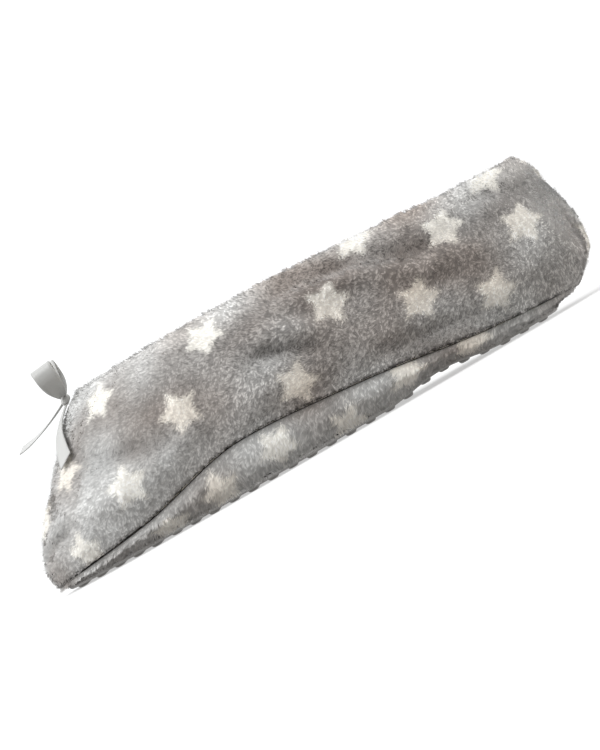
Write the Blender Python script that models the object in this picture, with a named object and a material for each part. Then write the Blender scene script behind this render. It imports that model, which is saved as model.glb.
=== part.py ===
"""Plush ballerina slipper for a left foot, standing unbent on its sole.

Its pieces are those that a maker sews together: a dotted cloth outsole, a padded sole
wrapped in plush, an insole, one lined plush upper and a tied ribbon bow.

Sizes are in millimetres, and become metres where a mesh is made. Along runs from the
toe tip to the heel, heights run from the floor, and the outer side of the foot is at -Y.
Every form is made of rings: closed lines that go once round the foot at one level.
"""

import math
from collections import namedtuple

import bmesh
import bpy
from mathutils import Matrix, Vector

MM = 0.001

# Driving dimensions of the slipper
LENGTH = 254.0
BALL_WIDTH = 94.0
INSTEP_HEIGHT = 69.5
HEEL_HEIGHT = 61.5
SEAM_PEAK = 20.0
WALL = 5.0
GAP = 0.3

# Outsole: a cloth sheet with rubber dots, hollowed a little in front of the heel
DOT_HEIGHT = 1.0
DOT_FOOT_RADIUS = 1.5
DOT_ROOT_RADIUS = 2.3
DOT_SIDES = 8
DOT_SINK = 0.6
DOT_PITCH_ALONG = 8.7
DOT_PITCH_ACROSS = 10.0
DOT_EDGE_MARGIN = 3.2
DOT_HEEL_MARGIN = 7.5
HEEL_ZONE = 190.0
SHEET = 1.5
SHEET_LIP = 0.7
ARCH_RISE = 3.0
ARCH_FRONT = 150.0
ARCH_BACK = 204.0

# Padded sole and insole
FOOTBED = 9.0
RIM_EXTRA = 0.5
FOOTBED_INSET = 6.5
INSOLE = 4.0
INSOLE_INSET = 7.4
INSOLE_ROUND = 0.9

# Ribbon bow
RIBBON_WIDTH = 8.8
RIBBON_PINCH = 2.6
RIBBON_THICK = 0.7
RIBBON_FAN = 0.85
KNOT_SIZE = Vector((4.8, 4.0, 3.5))
KNOT_RISE = 0.955
LOOP_LENGTH = 18.0
LOOP_FULLNESS = 5.2
LOOP_LIFT_DEG = 50.0
LOOP_TILT_DEG = 6.0
LOOP_OPEN_RAD = 0.42
LOOP_STEPS = 18
TAIL_STEPS = 10
TAIL_CLEAR = 0.9

# Number of points round a ring, and of rings up the wall, round the collar and down the lining
COLUMNS = 72
OUTER_RINGS = 15
COLLAR_RINGS = 4
LINING_RINGS = 11

# One ring: rise from its form's lower edge (0) to its upper edge (1), its foremost and rearmost
# point as shares of LENGTH, and its width at four stations as shares of BALL_WIDTH
Level = namedtuple("Level", "rise front back toe ball waist heel")
WIDTH_STATIONS = (0.0, 0.06, 0.38, 0.62, 0.85, 1.0)
TOE_BLUNTNESS = 1.0
HEEL_BLUNTNESS = 1.3

SEAM = dict(front=0.010, back=0.949, toe=0.55, ball=0.915, waist=0.83, heel=0.64)
UPPER_LEVELS = (
    Level(rise=0.00, **SEAM),
    Level(rise=0.09, front=0.000, back=0.979, toe=0.61, ball=0.970, waist=0.885, heel=0.71),
    Level(rise=0.27, front=0.018, back=1.000, toe=0.64, ball=1.000, waist=0.915, heel=0.765),
    Level(rise=0.50, front=0.068, back=0.998, toe=0.62, ball=0.970, waist=0.890, heel=0.75),
    Level(rise=0.70, front=0.112, back=0.988, toe=0.56, ball=0.885, waist=0.815, heel=0.69),
    Level(rise=0.86, front=0.146, back=0.980, toe=0.47, ball=0.760, waist=0.715, heel=0.61),
    Level(rise=1.00, front=0.187, back=0.963, toe=0.37, ball=0.620, waist=0.600, heel=0.52),
)
SOLE_LEVELS = (
    Level(rise=0.00, front=0.026, back=0.902, toe=0.46, ball=0.830, waist=0.690, heel=0.47),
    Level(rise=0.22, front=0.015, back=0.926, toe=0.52, ball=0.915, waist=0.800, heel=0.58),
    Level(rise=0.60, front=0.009, back=0.943, toe=0.56, ball=0.950, waist=0.855, heel=0.64),
    Level(rise=1.00, **SEAM),
)
INSOLE_LEVEL = Level(rise=0.0, front=0.003, back=0.973, toe=0.575, ball=0.905, waist=0.81, heel=0.665)

# Lines that run round the foot: share along the ring, and height as a share of a driving height
HEIGHT_STATIONS = (0.0, 0.19, 0.40, 0.62, 0.85, 1.0)
SEAM_SHARES = (0.225, 0.50, 1.00, 0.80, 0.42, 0.27)
COLLAR_SHARES = (0.88, 1.00, 0.94, 0.62, 0.18, 0.00)

# Sideways swing of the foot's centre line, towards the big toe where positive
SWING_STATIONS = (0.0, 0.20, 0.40, 0.62, 0.85, 1.0)
SWING = (4.9, 1.7, -1.1, -2.6, -0.8, -0.3)


def smooth(stations, values, at):
    """Monotone cubic curve through a few values, with no overshoot."""
    at = min(max(at, stations[0]), stations[-1])
    steps = [b - a for a, b in zip(stations, stations[1:])]
    slopes = [(b - a) / step for a, b, step in zip(values, values[1:], steps)]
    tangents = [slopes[0]]
    for before, after in zip(slopes, slopes[1:]):
        flat = before * after <= 0
        tangents.append(0.0 if flat else 2 * before * after / (before + after))
    tangents.append(slopes[-1])
    i = max(k for k in range(len(steps)) if at >= stations[k])
    t = (at - stations[i]) / steps[i]
    return (
        (1 + 2 * t) * (1 - t) ** 2 * values[i]
        + t * (1 - t) ** 2 * steps[i] * tangents[i]
        + t * t * (3 - 2 * t) * values[i + 1]
        + t * t * (t - 1) * steps[i] * tangents[i + 1]
    )


def seam_height(share):
    return SEAM_PEAK * smooth(HEIGHT_STATIONS, SEAM_SHARES, share)


def collar_height(share):
    climb = smooth(HEIGHT_STATIONS, COLLAR_SHARES, share)
    return HEEL_HEIGHT + climb * (INSTEP_HEIGHT - HEEL_HEIGHT)


def centre_line(along):
    return smooth(SWING_STATIONS, SWING, along / LENGTH)


def arch(along):
    """Height of the hollow under the waist, nothing under forefoot and heel."""
    share = (along - ARCH_FRONT) / (ARCH_BACK - ARCH_FRONT)
    if not 0 < share < 1:
        return 0.0
    return ARCH_RISE * math.sin(math.pi * share) ** 2


def level_at(levels, rise):
    """The level between the table's rows at this rise."""
    rises = [level.rise for level in levels]
    columns = zip(*levels)
    return Level(*(smooth(rises, column, rise) for column in columns))


def half_width(level, share):
    """Half the ring's width at a share of its length, round at both ends."""
    spread = [2 * math.sqrt(s * (1 - s)) for s in WIDTH_STATIONS[1:-1]]
    widths = (level.toe, level.ball, level.waist, level.heel)
    fullness = [BALL_WIDTH / 2 * w / s for w, s in zip(widths, spread)]
    fullness = [fullness[0] * TOE_BLUNTNESS, *fullness, fullness[-1] * HEEL_BLUNTNESS]
    return smooth(WIDTH_STATIONS, fullness, share) * 2 * math.sqrt(max(share * (1 - share), 0.0))


def ring_point(level, turn, height):
    """Point of a ring at a turn from the toe (0) by the outer side to the heel (pi)."""
    share = (1 - math.cos(turn)) / 2
    along = LENGTH * (level.front + share * (level.back - level.front))
    side = -math.copysign(half_width(level, share), math.sin(turn))
    return Vector((along - LENGTH / 2, centre_line(along) + side, height(share, along)))


def turns():
    return [2 * math.pi * column / COLUMNS for column in range(COLUMNS)]


def upper_point(rise, turn):
    """Point on the outside of the upper."""

    def height(share, _along):
        return seam_height(share) + rise * (collar_height(share) - seam_height(share))

    return ring_point(level_at(UPPER_LEVELS, rise), turn, height)


def upper_normal(rise, turn):
    """Direction out of the upper's outside."""
    step = 0.004
    low, high = max(rise - step, 0.0), min(rise + step, 1.0)
    up = upper_point(high, turn) - upper_point(low, turn)
    round_foot = upper_point(rise, turn + step) - upper_point(rise, turn - step)
    return round_foot.cross(up).normalized()


def sole_floor(along):
    """Height of the underside of the padded sole."""
    return DOT_HEIGHT + SHEET + GAP + arch(along)


def sole_ring(rise):
    """Ring of the plush side of the padded sole."""
    level = level_at(SOLE_LEVELS, rise)

    def height(share, along):
        bottom = sole_floor(along)
        return bottom + rise * (seam_height(share) - GAP - bottom)

    return [ring_point(level, turn, height) for turn in turns()]


def inset(ring, distance):
    """The ring drawn in towards the foot, level with itself."""
    moved = []
    for i, point in enumerate(ring):
        round_foot = ring[(i + 1) % len(ring)] - ring[i - 1]
        inward = Vector((round_foot.y, -round_foot.x, 0.0)).normalized()
        moved.append(point - inward * distance)
    return moved


def fabric(name, colour, roughness):
    material = bpy.data.materials.new(name)
    material.use_nodes = True
    shader = material.node_tree.nodes["Principled BSDF"]
    shader.inputs["Base Color"].default_value = (*colour, 1.0)
    shader.inputs["Roughness"].default_value = roughness
    shader.inputs["Metallic"].default_value = 0.0
    return material


PLUSH = fabric("grey plush", (0.36, 0.35, 0.34), 0.95)
LINING = fabric("cream fleece", (0.80, 0.76, 0.68), 0.95)
SOLE_CLOTH = fabric("grey sole cloth", (0.30, 0.30, 0.29), 0.8)
SATIN = fabric("silver grey satin", (0.50, 0.50, 0.48), 0.35)


def add_object(name, shape, material):
    """A named object from a bmesh in millimetres, with its faces turned out."""
    bmesh.ops.scale(shape, vec=(MM, MM, MM), verts=shape.verts)
    bmesh.ops.recalc_face_normals(shape, faces=shape.faces)
    mesh = bpy.data.meshes.new(name)
    shape.to_mesh(mesh)
    shape.free()
    mesh.materials.append(material)
    mesh.shade_smooth()
    mesh.set_sharp_from_angle(angle=math.radians(50))
    made = bpy.data.objects.new(name, mesh)
    bpy.context.scene.collection.objects.link(made)
    return made


def skin(rings, closed_tube=False):
    """A bmesh of quads through rings. A tube joins its last ring to its first, other forms get two caps."""
    shape = bmesh.new()
    rows = [[shape.verts.new(p) for p in ring] for ring in rings]
    pairs = list(zip(rows, rows[1:]))
    if closed_tube:
        pairs.append((rows[-1], rows[0]))
    for low, high in pairs:
        for j in range(len(low)):
            k = (j + 1) % len(low)
            shape.faces.new((low[j], low[k], high[k], high[j]))
    if not closed_tube:
        for row in (rows[0], rows[-1]):
            add_cap(shape, row)
    return shape


def add_cap(shape, row):
    """Closes a ring with strips from the outer to the inner side, so that it can follow an arch."""
    last = len(row)
    shape.faces.new((row[0], row[1], row[-1]))
    for j in range(1, last // 2 - 1):
        shape.faces.new((row[j], row[j + 1], row[last - j - 1], row[last - j]))
    middle = last // 2
    shape.faces.new((row[middle - 1], row[middle], row[middle + 1]))


def eased(count):
    """Rises from 0 to 1, closer together near both edges."""
    return [(1 - math.cos(math.pi * i / (count - 1))) / 2 for i in range(count)]


def build_upper():
    """One hollow wall: up the plush outside, over the rounded collar and down the lining."""
    rises = eased(OUTER_RINGS)
    outside = [[upper_point(rise, turn) for turn in turns()] for rise in rises]

    def lining_ring(rise):
        ring = []
        for turn in turns():
            normal = upper_normal(rise, turn)
            level_out = Vector((normal.x, normal.y, 0.0)).normalized()
            share = min(rise / 0.15, 1.0)
            direction = level_out.lerp(normal, share).normalized()
            ring.append(upper_point(rise, turn) - direction * WALL)
        return ring

    collar = []
    for i in range(1, COLLAR_RINGS + 1):
        bend = math.pi * i / (COLLAR_RINGS + 1)
        ring = []
        for turn in turns():
            normal = upper_normal(1.0, turn)
            up = (upper_point(1.0, turn) - upper_point(0.98, turn)).normalized()
            middle = upper_point(1.0, turn) - normal * WALL / 2
            ring.append(middle + (normal * math.cos(bend) + up * math.sin(bend)) * WALL / 2)
        collar.append(ring)

    lining = [lining_ring(rise) for rise in reversed(eased(LINING_RINGS))]
    return add_object("upper", skin(outside + collar + lining, closed_tube=True), PLUSH)


def build_padded_sole():
    """Foam footbed wrapped in plush: its side rises to the seam and its top lies inside the upper."""
    side = [sole_ring(rise) for rise in (0.0, 0.1, 0.22, 0.4, 0.6, 0.8, 1.0)]
    rim = inset(side[-1], WALL + RIM_EXTRA)
    footbed = [Vector((p.x, p.y, FOOTBED)) for p in inset(side[-1], FOOTBED_INSET)]
    return add_object("padded_sole", skin([*side, rim, footbed]), PLUSH)


def build_insole():
    """Soft pad on the footbed, with a rounded edge."""
    low = FOOTBED + GAP
    layers = (
        (INSOLE_INSET + INSOLE_ROUND, low),
        (INSOLE_INSET, low + INSOLE * 0.4),
        (INSOLE_INSET + INSOLE_ROUND * 0.3, low + INSOLE * 0.75),
        (INSOLE_INSET + INSOLE_ROUND * 1.6, low + INSOLE),
    )
    rings = []
    for distance, height in layers:
        outline = [ring_point(INSOLE_LEVEL, turn, lambda _share, _along: height) for turn in turns()]
        rings.append(inset(outline, distance))
    return add_object("insole", skin(rings), LINING)


def dot_places():
    """Centres of the grip dots, in staggered rows inside the outsole's edge."""
    edge = SOLE_LEVELS[0]
    front, back = LENGTH * edge.front, LENGTH * edge.back
    places = []
    for row in range(int((back - front) / DOT_PITCH_ALONG)):
        along = front + (row + 0.75) * DOT_PITCH_ALONG
        margin = DOT_HEEL_MARGIN if along > HEEL_ZONE else DOT_EDGE_MARGIN
        room = half_width(edge, (along - front) / (back - front)) - margin
        offset = DOT_PITCH_ACROSS / 2 * (row % 2)
        reach = int(BALL_WIDTH / DOT_PITCH_ACROSS)
        for step in range(-reach, reach + 1):
            across = step * DOT_PITCH_ACROSS + offset
            if abs(across) <= room:
                places.append(Vector((along - LENGTH / 2, centre_line(along) + across, arch(along))))
    return places


def build_outsole():
    """Cloth sheet under the sole, with its rubber dots joined on."""
    edge = sole_ring(0.0)
    lip = inset(edge, -SHEET_LIP)
    rings = []
    for height in (DOT_HEIGHT, DOT_HEIGHT + SHEET):
        rings.append([Vector((p.x, p.y, height + arch(p.x + LENGTH / 2))) for p in lip])
    outsole = add_object("outsole", skin(rings), SOLE_CLOTH)

    dots = bmesh.new()
    depth = DOT_HEIGHT + DOT_SINK
    for place in dot_places():
        made = bmesh.ops.create_cone(
            dots,
            cap_ends=True,
            segments=DOT_SIDES,
            radius1=DOT_FOOT_RADIUS,
            radius2=DOT_ROOT_RADIUS,
            depth=depth,
        )
        bmesh.ops.translate(dots, verts=made["verts"], vec=place + Vector((0, 0, depth / 2)))
    cutter = add_object("dot_shapes", dots, SOLE_CLOTH)
    cutter.hide_render = True
    cutter.display_type = "WIRE"
    join = outsole.modifiers.new("dots", "BOOLEAN")
    join.operation = "UNION"
    join.solver = "EXACT"
    join.object = cutter
    return outsole


def ribbon(name, path, across, widths):
    """A flat strip along a path. Across gives the way its width runs at each point."""
    rings = []
    for i, point in enumerate(path):
        ahead = path[min(i + 1, len(path) - 1)] - path[max(i - 1, 0)]
        side = (across[i] - ahead * across[i].dot(ahead) / ahead.length_squared).normalized()
        face = ahead.cross(side).normalized()
        w, t = side * widths[i] / 2, face * RIBBON_THICK / 2
        rings.append([point - w - t, point + w - t, point + w + t, point - w + t])
    shape = bmesh.new()
    rows = [[shape.verts.new(p) for p in ring] for ring in rings]
    for low, high in zip(rows, rows[1:]):
        for j in range(4):
            k = (j + 1) % 4
            shape.faces.new((low[j], low[k], high[k], high[j]))
    shape.faces.new(rows[0])
    shape.faces.new(rows[-1])
    return add_object(name, shape, SATIN)


def pinched(share):
    """Width of the ribbon as it leaves the knot and spreads."""
    spread = math.sin(math.pi / 2 * min(share / RIBBON_FAN, 1.0))
    return RIBBON_PINCH + (RIBBON_WIDTH - RIBBON_PINCH) * spread


def knot_centre():
    surface = upper_point(KNOT_RISE, 0.0)
    return surface + upper_normal(KNOT_RISE, 0.0) * (KNOT_SIZE.z / 2 + GAP + 0.1)


def build_knot():
    """Small tight wrap that holds the bow on the throat of the vamp."""
    shape = bmesh.new()
    bmesh.ops.create_icosphere(shape, subdivisions=2, radius=0.5)
    bmesh.ops.scale(shape, vec=KNOT_SIZE, verts=shape.verts)
    out = upper_normal(KNOT_RISE, 0.0)
    turn = Vector((0, 0, 1)).rotation_difference(out).to_matrix()
    bmesh.ops.rotate(shape, matrix=turn, verts=shape.verts)
    bmesh.ops.translate(shape, vec=knot_centre(), verts=shape.verts)
    return add_object("bow_knot", shape, SATIN)


def build_loop(name, side):
    """One loop of the bow. Side is -1 towards the outer side of the foot and 1 towards the inner."""
    lift = math.radians(LOOP_LIFT_DEG)
    tilt = Matrix.Rotation(-math.radians(LOOP_TILT_DEG), 3, "Y")
    out = tilt @ Vector((0, side * math.cos(lift), math.sin(lift)))
    apart = tilt @ Vector((0, -side * math.sin(lift), math.cos(lift)))
    across = tilt @ Vector((1, 0, 0))
    start = knot_centre() + out * (KNOT_SIZE.y / 2 - GAP)
    path, widths = [], []
    for i in range(LOOP_STEPS):
        turn = LOOP_OPEN_RAD + (2 * math.pi - 2 * LOOP_OPEN_RAD) * i / (LOOP_STEPS - 1)
        reach = (math.cos(LOOP_OPEN_RAD) - math.cos(turn)) / (1 + math.cos(LOOP_OPEN_RAD))
        spread = LOOP_FULLNESS * math.sin(turn) * math.sin(turn / 2)
        path.append(start + out * (RIBBON_THICK + reach * LOOP_LENGTH) - apart * spread)
        widths.append(pinched(reach))
    return ribbon(name, path, [across] * LOOP_STEPS, widths)


def build_outer_tail():
    """Ribbon end that lies down the vamp, a little to the outer side."""
    path, across, widths = [], [], []
    for i in range(TAIL_STEPS):
        share = i / (TAIL_STEPS - 1)
        rise = KNOT_RISE - 0.020 - 0.30 * share
        turn = 0.02 + 0.36 * share
        path.append(upper_point(rise, turn) + upper_normal(rise, turn) * TAIL_CLEAR)
        across.append(upper_point(rise, turn + 0.05) - upper_point(rise, turn))
        widths.append(pinched(share))
    return ribbon("bow_tail_outer", path, across, widths)


def build_inner_tail():
    """Ribbon end that stands out forwards over the vamp, a little to the inner side."""
    start = knot_centre() + Vector((-KNOT_SIZE.x / 2 + GAP, 1.2, -0.6))
    reach, drop, swing = 24.0, 8.0, 7.0
    path, across, widths = [], [], []
    for i in range(TAIL_STEPS):
        share = i / (TAIL_STEPS - 1)
        sag = drop * (1 - (1 - share) ** 1.6)
        path.append(start + Vector((-reach * share, swing * share, -sag)))
        across.append(Vector((0.1, 1, 0.25 * share)))
        widths.append(pinched(share))
    return ribbon("bow_tail_inner", path, across, widths)


def main():
    for old in list(bpy.data.objects):
        bpy.data.objects.remove(old)
    build_outsole()
    build_padded_sole()
    build_insole()
    build_upper()
    build_knot()
    build_loop("bow_loop_outer", -1)
    build_loop("bow_loop_inner", 1)
    build_outer_tail()
    build_inner_tail()


main()
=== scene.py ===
"""Plush ballerina slipper for a left foot, alone on a white floor.

Sizes are in millimetres and become metres where a mesh is made. Along runs from the toe tip
to the heel, heights run from the floor, and the outer side of the foot is at -Y.
"""

import math
from collections import namedtuple

import bpy
import numpy as np
from mathutils import Matrix, Vector, kdtree


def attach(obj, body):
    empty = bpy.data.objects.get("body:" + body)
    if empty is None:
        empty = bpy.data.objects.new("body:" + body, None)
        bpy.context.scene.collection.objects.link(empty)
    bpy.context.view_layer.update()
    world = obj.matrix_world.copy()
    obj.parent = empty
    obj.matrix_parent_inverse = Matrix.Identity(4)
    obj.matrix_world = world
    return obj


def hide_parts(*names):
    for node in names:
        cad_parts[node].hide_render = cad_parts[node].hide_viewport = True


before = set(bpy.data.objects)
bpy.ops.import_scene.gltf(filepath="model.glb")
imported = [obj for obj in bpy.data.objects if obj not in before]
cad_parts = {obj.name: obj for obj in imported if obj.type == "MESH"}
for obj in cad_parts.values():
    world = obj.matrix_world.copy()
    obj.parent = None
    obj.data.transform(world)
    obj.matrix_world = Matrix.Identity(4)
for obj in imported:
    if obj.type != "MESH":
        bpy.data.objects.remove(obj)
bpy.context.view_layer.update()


# Outsole: a sheet of grey brushed knit, cut to the foot and sewn under the padded sole. It is
# hollowed a little in front of the heel.
MM = 0.001
LENGTH = 254.0
BALL_WIDTH = 94.0
DOT_HEIGHT = 1.0
SHEET = 1.5
SHEET_INSET = 0.3
# Rings of the sheet's rounded edge: how far each is drawn in, and its height
SHEET_EDGE = ((0.5, 0.0), (0.0, 0.25), (-0.15, 0.75), (0.0, 1.25), (0.5, SHEET))
SOLE_GREY = (0.40, 0.395, 0.385)
ARCH_RISE, ARCH_FRONT, ARCH_BACK = 3.0, 150.0, 204.0
WIDTH_STATIONS = (0.0, 0.06, 0.38, 0.62, 0.85, 1.0)
HEEL_BLUNTNESS = 1.3
SWING_STATIONS = (0.0, 0.20, 0.40, 0.62, 0.85, 1.0)
SWING = (4.9, 1.7, -1.1, -2.6, -0.8, -0.3)
SOLE_COLUMNS = 240

# One ring round the foot: its rise, its foremost and rearmost point as shares of LENGTH, and its
# width at four stations as shares of BALL_WIDTH. SEAM is a ring without its rise.
Level = namedtuple("Level", "rise front back toe ball waist heel")
SEAM = (0.010, 0.949, 0.55, 0.915, 0.83, 0.64)
SOLE_LEVELS = (
    Level(0.00, 0.026, 0.902, 0.46, 0.830, 0.690, 0.47),
    Level(0.22, 0.015, 0.926, 0.52, 0.915, 0.800, 0.58),
    Level(0.60, 0.009, 0.943, 0.56, 0.950, 0.855, 0.64),
    Level(1.00, *SEAM),
)


def curve(stations, values, at):
    """Monotone cubic curve through a few values, each a number or an array like at."""
    stations = np.asarray(stations, float)
    at = np.clip(np.asarray(at, float), stations[0], stations[-1])
    rows = np.stack([np.broadcast_to(np.asarray(v, float), at.shape) for v in values])
    steps = np.diff(stations)
    slopes = np.diff(rows, axis=0) / steps.reshape((-1,) + (1,) * at.ndim)
    before, after = slopes[:-1], slopes[1:]
    turning = before * after <= 0
    mean = 2 * before * after / np.where(turning, 1.0, before + after)
    tangents = np.concatenate([slopes[:1], np.where(turning, 0.0, mean), slopes[-1:]])
    i = np.clip(np.searchsorted(stations, at, side="right") - 1, 0, len(steps) - 1)
    low, high = (np.take_along_axis(rows, k[None], 0)[0] for k in (i, i + 1))
    leave, arrive = (np.take_along_axis(tangents, k[None], 0)[0] for k in (i, i + 1))
    step = steps[i]
    t = (at - stations[i]) / step
    start = (1 + 2 * t) * (1 - t) ** 2 * low + t * (1 - t) ** 2 * step * leave
    return start + t * t * (3 - 2 * t) * high + t * t * (t - 1) * step * arrive


def rising(value, reach, least=0.0):
    """A share that grows with a value, from the least at 0 to 1 at the reach."""
    return np.clip(value / reach, least, 1)


def centre_line(along):
    return curve(SWING_STATIONS, SWING, along / LENGTH)


def arch(along):
    share = rising(along - ARCH_FRONT, ARCH_BACK - ARCH_FRONT)
    return ARCH_RISE * np.sin(np.pi * share) ** 2


def half_width(level, share):
    widths = (level.toe, level.ball, level.waist, level.heel)
    spread = [2 * math.sqrt(s * (1 - s)) for s in WIDTH_STATIONS[1:-1]]
    fullness = [BALL_WIDTH / 2 * np.asarray(w) / s for w, s in zip(widths, spread)]
    fullness = [fullness[0], *fullness, fullness[-1] * HEEL_BLUNTNESS]
    rounding = np.sqrt(np.clip(share * (1 - share), 0, None))
    return curve(WIDTH_STATIONS, fullness, share) * 2 * rounding


def ring_plan(level, turn):
    """Share of the ring's length, along and across at turns from the toe by the outer side."""
    share = (1 - np.cos(turn)) / 2
    along = LENGTH * (level.front + share * (level.back - level.front))
    across = centre_line(along) - np.sign(np.sin(turn)) * half_width(level, share)
    return share, along, across


def turns(count):
    return np.linspace(0, 2 * np.pi, count, endpoint=False)


def place(along, across, height):
    return np.stack([along - LENGTH / 2, across, height], axis=-1)


def along_of(points):
    """How far points lie behind the toe tip."""
    return points[..., 0] + LENGTH / 2


def unit(vectors):
    return vectors / np.maximum(np.linalg.norm(vectors, axis=-1, keepdims=True), 1e-9)


def inset(ring, distance):
    """A ring drawn in, level with itself."""
    round_foot = np.roll(ring, -1, axis=-2) - np.roll(ring, 1, axis=-2)
    outward = np.stack([round_foot[..., 1], -round_foot[..., 0], 0 * round_foot[..., 0]], -1)
    return ring - unit(outward) * distance


def add_object(name, data):
    made = bpy.data.objects.new(name, data)
    bpy.context.scene.collection.objects.link(made)
    return made


def add_piece(name, points, faces, materials, smooth=True):
    """An object from points or a grid in millimetres and face arrays, one or several of any width."""
    groups = [faces] if isinstance(faces, np.ndarray) else list(faces)
    corners = np.concatenate([g.reshape(-1) for g in groups]).astype(np.int32)
    widths = np.concatenate([np.full(len(g), g.shape[1]) for g in groups])
    starts = np.concatenate([[0], np.cumsum(widths)[:-1]]).astype(np.int32)
    mesh = bpy.data.meshes.new(name)
    mesh.vertices.add(points.size // 3)
    mesh.vertices.foreach_set("co", (points * MM).astype(np.float32).reshape(-1))
    mesh.loops.add(len(corners))
    mesh.loops.foreach_set("vertex_index", corners)
    mesh.polygons.add(len(starts))
    mesh.polygons.foreach_set("loop_start", starts)
    mesh.polygons.foreach_set("use_smooth", np.full(len(starts), smooth))
    mesh.update(calc_edges=True)
    for material in materials:
        mesh.materials.append(material)
    return add_object(name, mesh)


def ring_faces(rings, columns, tube=False):
    """Quads through rings of points, closed to a tube or with a cap at either end."""
    corner = np.arange(rings * columns).reshape(rings, columns)
    low = corner if tube else corner[:-1]
    high = np.roll(corner, -1, axis=0) if tube else corner[1:]
    sides = np.stack([low, np.roll(low, -1, 1), np.roll(high, -1, 1), high], -1).reshape(-1, 4)
    if tube:
        return [sides]
    j = np.arange(1, columns // 2 - 1)
    caps = []
    for row, flip in ((corner[0], -1), (corner[-1], 1)):
        strips = np.stack([row[j], row[j + 1], row[columns - j - 1], row[columns - j]], -1)
        middle = columns // 2
        ends = np.array([[row[0], row[1], row[-1]], [row[middle - 1], row[middle], row[middle + 1]]])
        caps += [strips[:, ::flip], ends[:, ::flip]]
    return [sides, *caps]


def set_inputs(node, values):
    for name, value in values.items():
        node.inputs[name].default_value = value


def add_rings(name, grid, materials, tube=False):
    """An object from a grid of rings."""
    return add_piece(name, grid, ring_faces(*grid.shape[:2], tube), materials)


def plain_material(name, colour, roughness, sheen=0.0, specular=0.5):
    material = bpy.data.materials.new(name)
    material.use_nodes = True
    shader = material.node_tree.nodes["Principled BSDF"]
    set_inputs(shader, {"Base Color": (*colour, 1), "Roughness": roughness})
    set_inputs(shader, {"Sheen Weight": sheen, "Specular IOR Level": specular})
    return material


def add_grain(material, scale, detail, strength, depth_m):
    """A fine relief over a material, from noise in the object's own sizes."""
    nodes, links = material.node_tree.nodes, material.node_tree.links
    where = nodes.new("ShaderNodeTexCoord")
    noise = nodes.new("ShaderNodeTexNoise")
    set_inputs(noise, {"Scale": scale, "Detail": detail})
    bump = nodes.new("ShaderNodeBump")
    set_inputs(bump, {"Strength": strength, "Distance": depth_m})
    links.new(where.outputs["Object"], noise.inputs["Vector"])
    links.new(noise.outputs["Fac"], bump.inputs["Height"])
    links.new(bump.outputs["Normal"], nodes["Principled BSDF"].inputs["Normal"])


_, sole_along, sole_across = ring_plan(SOLE_LEVELS[0], turns(SOLE_COLUMNS))
sheet_rings = []
for drawn, height in SHEET_EDGE:
    lip = inset(place(sole_along, sole_across, 0 * sole_along), drawn + SHEET_INSET)
    lip[:, 2] = DOT_HEIGHT + height + arch(along_of(lip))
    sheet_rings.append(lip)
sole_cloth = plain_material("grey sole knit", SOLE_GREY, roughness=0.85, sheen=0.2, specular=0.2)
add_grain(sole_cloth, scale=1600.0, detail=3.0, strength=0.6, depth_m=0.0004)
outsole = add_rings("sole_sheet", np.stack(sheet_rings), [sole_cloth])
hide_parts("outsole")
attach(outsole, "root")


# Grip dots: small grey rubber dots, moulded on the knit in staggered rows that stop short of the
# edge. The slipper stands on them.
DOT_PITCH_ALONG = 8.7
DOT_PITCH_ACROSS = 10.0
DOT_FIRST_ROW = 0.75
DOTS_EACH_SIDE = 9
DOT_EDGE_MARGIN = 3.2
DOT_HEEL_MARGIN = 7.5
HEEL_ZONE = 190.0
# Radius and height of the rings of a dot
DOT_PROFILE = ((2.35, 1.1), (2.3, 0.75), (2.1, 0.4), (1.75, 0.14), (1.2, 0.0))
DOT_SIDES = 14
DOT_GREY = (0.30, 0.295, 0.285)

dot_front, dot_back = LENGTH * SOLE_LEVELS[0].front, LENGTH * SOLE_LEVELS[0].back
dots = []
for row in range(int((dot_back - dot_front) / DOT_PITCH_ALONG)):
    along = dot_front + (row + DOT_FIRST_ROW) * DOT_PITCH_ALONG
    margin = DOT_HEEL_MARGIN if along > HEEL_ZONE else DOT_EDGE_MARGIN
    room = half_width(SOLE_LEVELS[0], (along - dot_front) / (dot_back - dot_front)) - margin
    for step in range(-DOTS_EACH_SIDE, DOTS_EACH_SIDE + 1):
        across = step * DOT_PITCH_ACROSS + DOT_PITCH_ACROSS / 2 * (row % 2)
        if abs(across) <= room:
            dots.append(place(along, centre_line(along) + across, arch(along)))
dot_shape = np.array(
    [[(r * math.cos(a), -r * math.sin(a), h) for a in turns(DOT_SIDES)] for r, h in DOT_PROFILE]
)
dot_faces = ring_faces(len(DOT_PROFILE), DOT_SIDES)
first_corners = np.arange(len(dots))[:, None, None] * len(DOT_PROFILE) * DOT_SIDES
dot_rubber = plain_material("grey dot rubber", DOT_GREY, roughness=0.6)
add_grain(dot_rubber, scale=1200.0, detail=2.0, strength=0.3, depth_m=0.0002)
grip_dots = add_piece(
    "grip_dots",
    np.array(dots)[:, None, :] + dot_shape.reshape(1, -1, 3),
    [(f[None] + first_corners).reshape(-1, f.shape[1]) for f in dot_faces],
    [dot_rubber],
)
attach(grip_dots, "root")


# Padded sole: a foam pad wrapped in the star plush, which rises at the side to the seam with the
# upper. The cloth under the pile shows only between the tufts, painted a little darker there as
# shade, and painted much darker in the seam as its shadow.
SEAM_PEAK = 20.0
GAP = 0.3
SKIN_DEPTH = 1.5
FOOTBED = 9.0
FOOTBED_INSET = 6.5
RIM_INSET = 5.5
LEDGE_INSET = 3.0
LEDGE_RISE = 0.25
HEIGHT_STATIONS = (0.0, 0.19, 0.40, 0.62, 0.85, 1.0)
SEAM_SHARES = (0.225, 0.50, 1.00, 0.80, 0.42, 0.27)
SOLE_RISES = np.linspace(0, 1, 26)
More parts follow.
